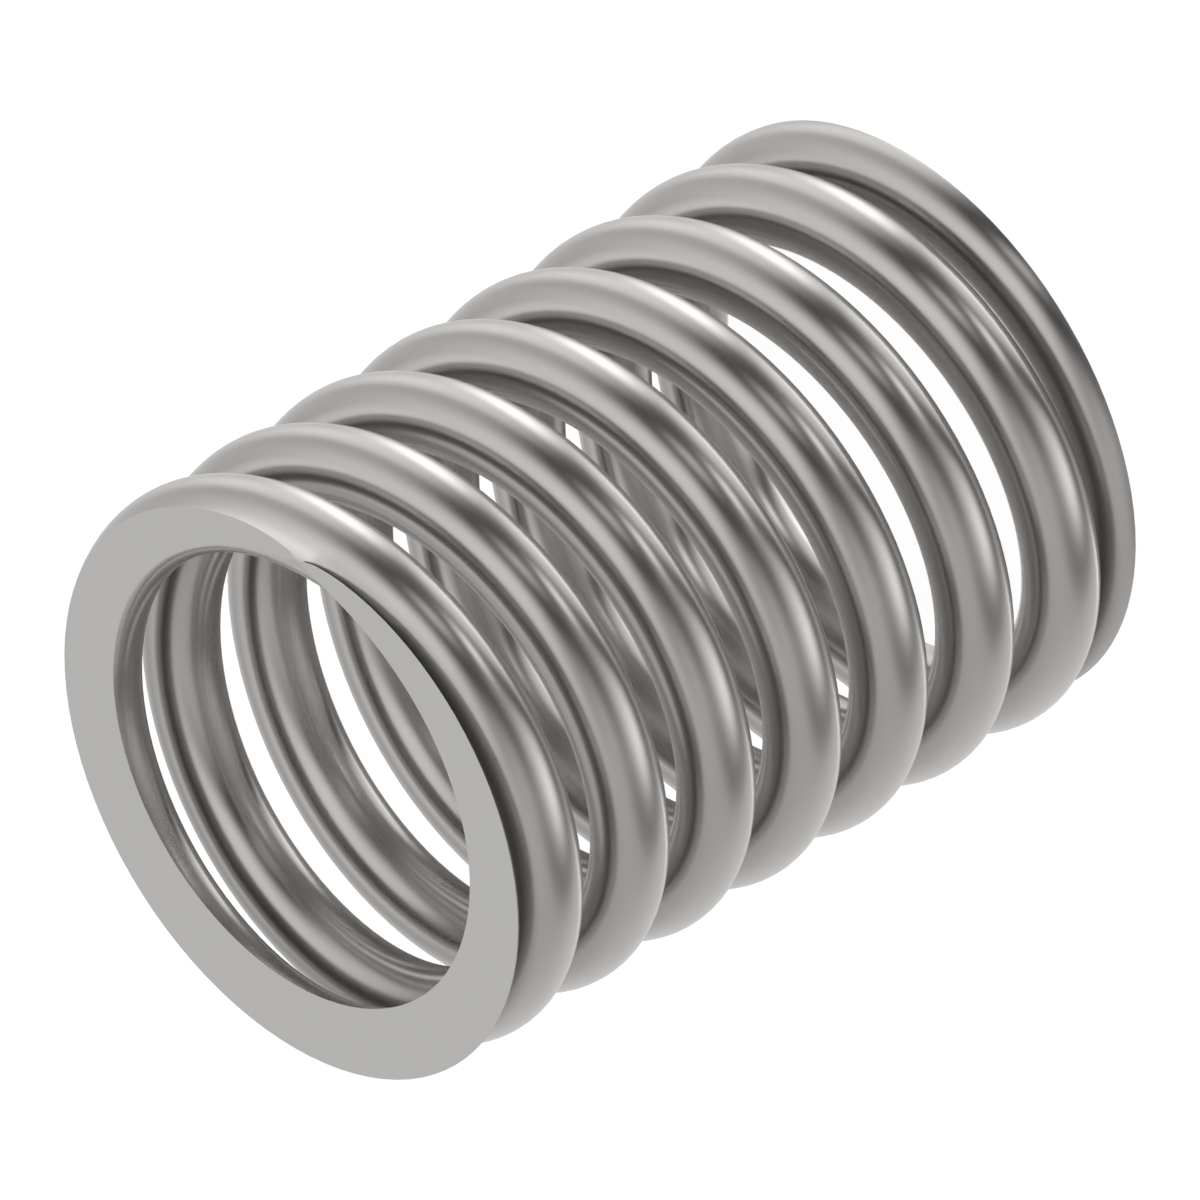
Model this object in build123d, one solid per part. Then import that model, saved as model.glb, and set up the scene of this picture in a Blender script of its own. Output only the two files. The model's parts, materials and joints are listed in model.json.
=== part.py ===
from build123d import *
import os
from math import hypot, pi

# A compression spring: one length of round wire wound into a right-hand helix. The last
# turn at each end closes on its neighbour and is ground flat, square to the axis. It stands
# on its lower ground end, with its axis on +Z, the origin at the middle of that end's
# plane, and the lower tip of the wire on +X. Sizes are in millimetres.

# Driving dimensions
wire_diameter = 2.5
mean_diameter = 18.0  # across the middle of the wire: 15.5 inside, 20.5 outside
free_length = 27.5  # over both ground ends
total_turns = 8.5  # from tip to tip, with one closed and ground turn at each end
tip_gap = 0.015  # daylight between each feathered tip and the coil that it closes on

wire_radius = wire_diameter / 2
coil_radius = mean_diameter / 2

# A closing turn starts with its wire just outside the ground plane, where grinding leaves
# the feathered tip, and rises by one wire diameter until the wire is whole. That takes a
# hair under one turn, so the wire is clear of the tip when it comes round to it again.
active_pitch = (free_length - wire_diameter - 2 * tip_gap) / (total_turns - 2)
closing_turns = 1 - tip_gap / active_pitch
closing_pitch = wire_diameter / closing_turns
active_turns = total_turns - 2 * closing_turns


def wire_section():
    """The round wire over +X, as two half circles that meet where a flat runs out."""
    top = (coil_radius, wire_radius)
    bottom = (coil_radius, -wire_radius)
    outer_half = ThreePointArc(bottom, (coil_radius + wire_radius, 0), top)
    inner_half = ThreePointArc(top, (coil_radius - wire_radius, 0), bottom)
    return Plane.XZ * make_face([outer_half, inner_half])


def coil(turns, pitch, start_height):
    """Turns of wire at one pitch, starting over +X with the wire's centre at a height."""
    path = Helix(pitch, pitch * turns, coil_radius)
    return Pos(0, 0, start_height) * sweep(wire_section(), path=path, is_frenet=True)


def ground_end():
    """The lower closing turn, with all that lies under the ground plane taken off.

    It is ground in two parts, the wire's tip and the rest of the turn, because the wire
    grazes the plane where the flat starts and again where it runs out, and each part then
    has only one such place, at its outer end.
    """
    tip_turns = 0.4 * closing_turns
    tip_part = coil(tip_turns, closing_pitch, -wire_radius)
    rest_start = closing_pitch * tip_turns - wire_radius
    rest_part = Rot(0, 0, 360 * tip_turns) * coil(closing_turns - tip_turns, closing_pitch, rest_start)
    ground_tip = split(tip_part, bisect_by=Plane.XY, keep=Keep.TOP)
    return ground_tip + split(rest_part, bisect_by=Plane.XY, keep=Keep.TOP)


def spring():
    """Active coils between two ground ends, the upper one the lower one turned over."""
    lower_end = ground_end()
    upper_end = Pos(0, 0, free_length) * Rot(0, 0, 360 * total_turns) * Rot(180, 0, 0) * lower_end
    active_coils = Rot(0, 0, 360 * closing_turns) * coil(active_turns, active_pitch, wire_radius)
    return active_coils + [lower_end, upper_end]


coil_spring = spring()
coil_spring.label = "spring_coil"

wire_length = total_turns * hypot(pi * mean_diameter, active_pitch)
print("active pitch", round(active_pitch, 3), "wire length about", round(wire_length))
print("solids", len(coil_spring.solids()), "volume", round(coil_spring.volume, 1))

os.makedirs("parts", exist_ok=True)
export_step(coil_spring, "parts/spring_coil.step")
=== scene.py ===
import json
from math import cos, pi, radians, sin

import bpy
from mathutils import Matrix, Vector


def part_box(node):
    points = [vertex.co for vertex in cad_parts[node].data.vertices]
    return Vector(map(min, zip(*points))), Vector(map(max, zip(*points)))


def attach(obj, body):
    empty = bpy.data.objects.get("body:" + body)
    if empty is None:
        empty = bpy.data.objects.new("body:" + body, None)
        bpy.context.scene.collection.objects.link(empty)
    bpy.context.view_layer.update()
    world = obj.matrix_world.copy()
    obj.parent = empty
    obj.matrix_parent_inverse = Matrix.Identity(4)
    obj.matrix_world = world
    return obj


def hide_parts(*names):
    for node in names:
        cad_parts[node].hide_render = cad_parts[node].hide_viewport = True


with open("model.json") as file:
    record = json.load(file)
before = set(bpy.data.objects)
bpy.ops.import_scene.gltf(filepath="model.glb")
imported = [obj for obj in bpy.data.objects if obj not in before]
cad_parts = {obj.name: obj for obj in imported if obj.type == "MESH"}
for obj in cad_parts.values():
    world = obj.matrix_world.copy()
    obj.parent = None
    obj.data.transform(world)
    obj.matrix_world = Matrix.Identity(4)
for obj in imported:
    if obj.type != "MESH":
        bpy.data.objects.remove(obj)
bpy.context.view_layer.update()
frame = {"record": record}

# The spring: one length of hard-drawn spring wire, wound right-hand on a mandrel. The last
# turn at each end lies on its neighbour, and both ends are then ground flat, which leaves
# a feathered tip. Its seats and its box give all its sizes but its turns and the tip's gap.
spring_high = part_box("spring_coil")[1]
seats = {mount["name"]: mount["pos_m"] for mount in frame["record"]["mounts"]}
free_length = seats["top_seat"][2] - seats["bottom_seat"][2]
coil_radius = abs(seats["bottom_seat"][0])
wire_radius = spring_high.x - coil_radius
total_turns = 8.5
tip_gap = 0.000015  # daylight between each feathered tip and the turn that it lies on
active_pitch = (free_length - 2 * wire_radius - 2 * tip_gap) / (total_turns - 2)
closing_turns = 1 - tip_gap / active_pitch
closing_pitch = 2 * wire_radius / closing_turns

facets_around = 72
steps_per_turn = 96
spare_steps = 2  # wire wound past each ground plane, which the grinding takes off


def wire_height(turn):
    """Height of the wire's middle after so many turns from its lower tip."""
    if turn < closing_turns:
        return closing_pitch * turn - wire_radius
    if turn > total_turns - closing_turns:
        return free_length + wire_radius - closing_pitch * (total_turns - turn)
    return wire_radius + active_pitch * (turn - closing_turns)


bpy.ops.object.select_all(action="DESELECT")
bpy.ops.mesh.primitive_circle_add(
    vertices=facets_around,
    radius=wire_radius,
    location=(coil_radius, 0, 0),
    rotation=(pi / 2, 0, 0),
)
spring = bpy.context.object
spring.name = "coil_wire"
bpy.ops.object.transform_apply(location=True, rotation=True, scale=True)
steps = round(total_turns * steps_per_turn) + 2 * spare_steps
winding = spring.modifiers.new("winding", "SCREW")
winding.axis = "Z"
winding.angle = 2 * pi * steps / steps_per_turn
winding.steps = steps
winding.render_steps = steps
winding.screw_offset = 0
bpy.ops.object.modifier_apply(modifier="winding")

# A place across the wire is given from the wire's middle, outwards in x and upwards in y.
outline_points = 24
outline_angles = [2 * pi * number / outline_points for number in range(outline_points)]
wire_outline = [wire_radius * Vector((cos(angle), sin(angle))) for angle in outline_angles]


def crevice_at(turn, place):
    """How far the turns next to a place on the wire's surface shut it in.

    It gives the share of the place's view that they close off, and how near they come.
    """
    share = 0
    nearest = wire_radius
    for other_turn in (turn - 1, turn + 1):
        if 0 < other_turn < total_turns:
            height = wire_height(other_turn)
            across_to_it = Vector((0, height - wire_height(turn))) - place
            unground = [point for point in wire_outline if 0 <= height + point.y <= free_length]
            sights = [across_to_it + point for point in unground]
            nearest = min([nearest] + [sight.length for sight in sights])
            leans = [place.angle_signed(sight) for sight in sights]
            seen = [lean for lean in leans if abs(lean) < pi / 2]
            if seen:
                share += (sin(max(seen)) - sin(min(seen))) / 2
    return share, nearest


# The screw leaves the wire in rings, one for each step, all at the height of the first.
# Each point also keeps its place on the wire as it was before it was wound, across it in x
# and y and along it in z, and how deep and how narrow the crevice is in which it lies.
spring.data.attributes.new("straight_wire", "FLOAT_VECTOR", "POINT")
spring.data.attributes.new("closed_off", "FLOAT", "POINT")
spring.data.attributes.new("clearance", "FLOAT", "POINT")
straight_wire = spring.data.attributes["straight_wire"]
closed_off = spring.data.attributes["closed_off"]
clearance = spring.data.attributes["clearance"]
for vertex in spring.data.vertices:
    turn = (vertex.index // facets_around - spare_steps) / steps_per_turn
    across = Vector((vertex.co.xy.length - coil_radius, vertex.co.z))
    along = turn * 2 * pi * coil_radius
    straight_wire.data[vertex.index].vector = (*across, along)
    view_lost, nearest_wire = crevice_at(turn, across)
    closed_off.data[vertex.index].value = view_lost
    clearance.data[vertex.index].value = nearest_wire
    vertex.co.z += wire_height(turn)

# The first ring was wound before the tip, so the wire turns back until the tip is on +X.
turn_back = Matrix.Rotation(-2 * pi * spare_steps / steps_per_turn, 4, "Z")
spring.data.transform(turn_back)

# Grinding: all that lies past the two end planes comes off, and each cut is closed by a
# flat face with many corners and a sharp edge.
weld_distance = 1e-8  # shorter than any edge of the feathered tips
square_to_axis = 0.9999
facet_corners = 4
bpy.ops.object.mode_set(mode="EDIT")
for height, direction in ((0, -1), (free_length, 1)):
    bpy.ops.mesh.select_all(action="SELECT")
    bpy.ops.mesh.bisect(
        plane_co=(0, 0, height),
        plane_no=(0, 0, direction),
        use_fill=True,
        clear_outer=True,
        threshold=weld_distance,
    )
bpy.ops.mesh.select_all(action="SELECT")
bpy.ops.mesh.faces_shade_smooth()
bpy.ops.mesh.select_all(action="DESELECT")
bpy.ops.object.mode_set(mode="OBJECT")
ground_faces = [
    face.index
    for face in spring.data.polygons
    if abs(face.normal.z) > square_to_axis and len(face.vertices) > facet_corners
]
for index in ground_faces:
    spring.data.polygons[index].select = True
bpy.ops.object.mode_set(mode="EDIT")
bpy.ops.mesh.faces_shade_flat()
bpy.ops.mesh.region_to_loop()
bpy.ops.mesh.mark_sharp()
bpy.ops.object.mode_set(mode="OBJECT")


class Link:
    """An output of a node, with the sums that the finishes and the studio need."""

    def __init__(self, tree, socket=None):
        self.tree = tree
        self.socket = socket

    def feed(self, node, values):
        """Give a node's sockets their values or links."""
        for name, value in values.items():
            if isinstance(value, Link):
                self.tree.links.new(value.socket, node.inputs[name])
            else:
                node.inputs[name].default_value = value

    def node(self, kind, settings, values, output=0):
        """Add a node, its settings first, and give back one of its outputs."""
        added = self.tree.nodes.new(kind)
        for name, setting in settings.items():
            setattr(added, name, setting)
        self.feed(added, values)
        return Link(self.tree, added.outputs[output])

    def maths(self, operation, first, second):
        return self.node("ShaderNodeMath", {"operation": operation}, {0: first, 1: second})

    def __add__(self, other):
        return self.maths("ADD", self, other)

    def __sub__(self, other):
        return self.maths("SUBTRACT", self, other)

    def __mul__(self, other):
        return self.maths("MULTIPLY", self, other)

    def __radd__(self, other):
        return self.maths("ADD", other, self)

    def __rsub__(self, other):
        return self.maths("SUBTRACT", other, self)

    def __rmul__(self, other):
        return self.maths("MULTIPLY", other, self)


def metal(name):
    """A new metal for the spring: its shader, and a link from which its nodes are added."""
    material = bpy.data.materials.new(name)
    material.use_nodes = True
    shader = material.node_tree.nodes["Principled BSDF"]
    shader.inputs["Metallic"].default_value = 1
    spring.data.materials.append(material)
    return shader, Link(material.node_tree)


def streaks(start, place, marks_per_metre, detail):
    """Marks between 0 and 1, so many in a metre each way of the surface."""
    drawn_out = start.node(
        "ShaderNodeVectorMath", {"operation": "MULTIPLY"}, {0: place, 1: marks_per_metre}
    )
    return start.node("ShaderNodeTexNoise", {}, {"Vector": drawn_out, "Scale": 1, "Detail": detail})


def blend(start, amount, first_colour, second_colour):
    """A colour between two others."""
    colours = {0: amount, 6: first_colour, 7: second_colour}
    return start.node("ShaderNodeMix", {"data_type": "RGBA"}, colours, output=2)


def ramp(start, value, low, high, at_low=0, at_high=1):
    """A number that changes softly from one level to another between two values."""
    return start.node(
        "ShaderNodeMapRange",
        {"interpolation_type": "SMOOTHSTEP"},
        {"Value": value, "From Min": low, "From Max": high, "To Min": at_low, "To Max": at_high},
    )


def relief(start, height, strength):
    """Fine relief on the surface, a hundredth of a millimetre deep at full strength."""
    return start.node(
        "ShaderNodeBump", {}, {"Strength": strength, "Distance": 0.00001, "Height": height}
    )


def wire_attribute(start, name, output):
    """What each point of the wire has kept under a name."""
    return start.node("ShaderNodeAttribute", {"attribute_name": name}, {}, output)


# The wire's skin: satin from the drawing die, with a fine grain along the wire. Its crevices
# are made duller than clean steel's by painted shade: the colour darkens where other turns shut
# it in, and darker still, with the metal dulled, where they all but touch it.
darker_skin = (0.597, 0.577, 0.560, 1)
lighter_skin = (0.625, 0.605, 0.588, 1)
painted_shade_colour = (0.08, 0.078, 0.075, 1)
shader, start = metal("drawn_steel")
place = wire_attribute(start, "straight_wire", "Vector")
view_lost = wire_attribute(start, "closed_off", "Fac")
gap = wire_attribute(start, "clearance", "Fac")
drawing_lines = streaks(start, place, marks_per_metre=(9000, 9000, 60), detail=3)
cloudiness = streaks(start, place, marks_per_metre=(500, 500, 120), detail=2)
clean_skin = blend(start, cloudiness, darker_skin, lighter_skin)
# Painted shade: darker as the turns beside close off more of the view, most where they nearly
# touch.
painted_crevice_shade = ramp(start, view_lost, low=0.1, high=0.6)
painted_contact_shade = ramp(start, gap, low=0.0003, high=0.0009, at_low=1, at_high=0)
skin = {
    "Base Color": blend(start, 0.35 * painted_crevice_shade + 0.27 * painted_contact_shade, clean_skin, painted_shade_colour),
    "Metallic": 1 - 0.35 * painted_contact_shade,
    "Roughness": 0.225 + 0.05 * drawing_lines,
    "Normal": relief(start, drawing_lines, strength=0.03),
}
start.feed(shader, skin)

# The ground faces: bare steel, a little greyer, with the wheel's fine scratches across it.
darker_scratch = (0.580, 0.571, 0.559, 1)
lighter_scratch = (0.590, 0.581, 0.569, 1)
shader, start = metal("ground_steel")
place = start.node("ShaderNodeTexCoord", {}, {}, "Object")
scratches = streaks(start, place, marks_per_metre=(400, 22000, 400), detail=3)
face_finish = {
    "Base Color": blend(start, scratches, darker_scratch, lighter_scratch),
    "Roughness": 0.255 + 0.03 * scratches,
    "Normal": relief(start, scratches, strength=0.01),
}
start.feed(shader, face_finish)
for index in ground_faces:
    spring.data.polygons[index].material_index = 1

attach(spring, "root")
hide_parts("spring_coil")

# The floor: a white sheet that fades into the background. It takes the spring's faint
# shadow, and the metal looks past it into the studio.
bpy.ops.object.select_all(action="DESELECT")
bpy.ops.mesh.primitive_plane_add(size=1.2, location=(0, 0, 0))
floor = bpy.context.object
floor.name = "floor"
sheet = bpy.data.materials.new("white_sheet")
sheet.use_nodes = True
start = Link(sheet.node_tree)
shader = sheet.node_tree.nodes["Principled BSDF"]
paper = {
    "Base Color": (0.1, 0.1, 0.1, 1),
    "Roughness": 1,
    "Specular IOR Level": 0,
    "Emission Color": (1, 1, 1, 1),
    "Emission Strength": 0.95,
}
start.feed(shader, paper)
lit_sheet = Link(start.tree, shader.outputs["BSDF"])
clear = start.node("ShaderNodeBsdfTransparent", {}, {})
in_reflections = start.node("ShaderNodeLightPath", {}, {}, "Is Glossy Ray")
seen = start.node("ShaderNodeMixShader", {}, {0: in_reflections, 1: lit_sheet, 2: clear})
start.feed(sheet.node_tree.nodes["Material Output"], {"Surface": seen})
floor.data.materials.append(sheet)

# The camera looks down on the upper end from beside it, and is turned so that the spring
# lies across the picture.
azimuth = radians(229.5)
elevation = radians(34.5)
roll = radians(121)
view_width = 0.03776
camera_distance = 0.2
back = Vector((sin(azimuth) * cos(elevation), -cos(azimuth) * cos(elevation), sin(elevation)))
level = Vector((cos(azimuth), sin(azimuth), 0))
upright = back.cross(level)
right = cos(roll) * level - sin(roll) * upright
up = sin(roll) * level + cos(roll) * upright
camera_data = bpy.data.cameras.new("camera")
camera_data.type = "ORTHO"
camera_data.ortho_scale = view_width
camera_data.clip_end = 10
camera = bpy.data.objects.new("camera", camera_data)
bpy.context.scene.collection.objects.link(camera)
centre = Vector((0, 0, free_length / 2))
stand = Matrix((right, up, back)).transposed().to_4x4()
stand.translation = centre + camera_distance * back
camera.matrix_world = stand
bpy.context.scene.camera = camera

# The studio: the camera sees plain white, and the metal reflects a greyer room instead, with
# soft lights and dark flags. Their places, sizes and strengths were fitted to the grey
# levels of the wire in the photograph, then rounded and adjusted from render to render.
world = bpy.data.worlds.new("studio")
world.use_nodes = True
start = Link(world.node_tree)
look = start.node("ShaderNodeTexCoord", {}, {}, "Generated")


def panel(at, size, turn, softness):
    """An oval of the room, 1 at its middle and 0 outside.

    It hangs so many degrees to the right of the camera and so many above it, as the camera
    sees the room, and is turned by some degrees. Its size is half its width and half its
    height, for a room whose walls are 1 away.
    """
    across, height = (radians(angle) for angle in at)
    half_width, half_height = size
    forward = Vector((sin(across) * cos(height), sin(height), cos(across) * cos(height)))
    sideways = Vector((cos(across), 0, -sin(across)))
    turned = Matrix.Rotation(radians(turn), 3, forward)
    columns = (turned @ sideways, turned @ forward.cross(sideways), forward)
    room = Matrix((right, up, back)).transposed()
    facing = room @ Matrix(columns).transposed()
    oval = start.node(
        "ShaderNodeMapping",
        {"vector_type": "TEXTURE"},
        {
            "Vector": look,
            "Location": room @ forward,
            "Rotation": facing.to_euler(),
            "Scale": (half_width, half_height, max(half_width, half_height)),
        },
    )
    reach = start.node("ShaderNodeVectorMath", {"operation": "LENGTH"}, {0: oval}, "Value")
    return ramp(start, reach, 1 - softness, 1 + softness, at_low=1, at_high=0)


def towards(direction):
    """How far a look into the room goes one way: 1 along it, -1 the other way."""
    return start.node(
        "ShaderNodeVectorMath", {"operation": "DOT_PRODUCT"}, {0: look, 1: direction}, "Value"
    )


walls = 0.40 + 0.36 * towards(-back) - 0.07 * towards(up)

key_light = 1.70 * panel(at=(158, 63), size=(0.14, 0.35), turn=25, softness=0.95)
small_spot = 1.60 * panel(at=(55, 33.5), size=(0.12, 0.15), turn=0, softness=0.98)
dim_spot = 0.95 * panel(at=(14, 33), size=(0.18, 0.17), turn=36, softness=0.88)
right_box = 2.03 * panel(at=(84, -8), size=(0.52, 0.30), turn=60, softness=0.94)
left_front_box = 0.88 * panel(at=(-22, 1), size=(0.87, 0.87), turn=0, softness=0.96)
left_box = 0.45 * panel(at=(-92, -15), size=(0.38, 0.34), turn=0, softness=0.60)
tall_left_box = 0.17 * panel(at=(-70, -2), size=(0.38, 0.42), turn=0, softness=0.80)
high_left_box = 0.10 * panel(at=(-88, 24), size=(0.36, 0.30), turn=0, softness=0.80)
top_strip = 0.50 * panel(at=(219, 68), size=(0.26, 0.58), turn=159, softness=0.60)
streak_light = 0.66 * panel(at=(118, 39), size=(0.53, 0.29), turn=-34, softness=0.46)
rim_light = 1.20 * panel(at=(148, -4), size=(0.22, 0.075), turn=0, softness=0.60)
edge_light = 0.75 * panel(at=(131, 33), size=(0.17, 0.14), turn=0, softness=0.70)
lights = key_light + small_spot + dim_spot + right_box + left_front_box + left_box
lights = lights + tall_left_box + high_left_box + top_strip + streak_light
lights = lights + rim_light + edge_light

front_flag = 0.54 * panel(at=(12, 20), size=(0.74, 0.33), turn=-50, softness=0.82)
top_flag = 0.25 * panel(at=(57, 48), size=(1.14, 0.45), turn=-16, softness=0.37)
right_flag = 1.20 * panel(at=(88, -10), size=(0.38, 0.70), turn=-30, softness=0.58)
low_flag = 0.38 * panel(at=(1, -14), size=(0.48, 0.22), turn=79, softness=0.80)
thin_flag = 0.40 * panel(at=(93, 23), size=(0.31, 0.12), turn=-4, softness=0.56)
high_flag = 0.11 * panel(at=(20, 59), size=(0.26, 0.30), turn=0, softness=0.80)
flags = front_flag + top_flag + right_flag + low_flag + thin_flag + high_flag

white = (1, 1, 1, 1)
darkest = 0.02
in_metal = start.maths("MAXIMUM", walls + lights - flags, darkest)
in_reflections = start.node("ShaderNodeLightPath", {}, {}, "Is Glossy Ray")
plain_room = start.node("ShaderNodeBackground", {}, {"Color": white, "Strength": 1})
lit_room = start.node("ShaderNodeBackground", {}, {"Color": white, "Strength": in_metal})
room = start.node("ShaderNodeMixShader", {}, {0: in_reflections, 1: plain_room, 2: lit_room})
start.feed(world.node_tree.nodes["World Output"], {"Surface": room})
# The lights are soft, so rays from the metal find them without a map of the room.
world.cycles.sampling_method = "NONE"
bpy.context.scene.world = world
bpy.context.scene.view_settings.view_transform = "Standard"
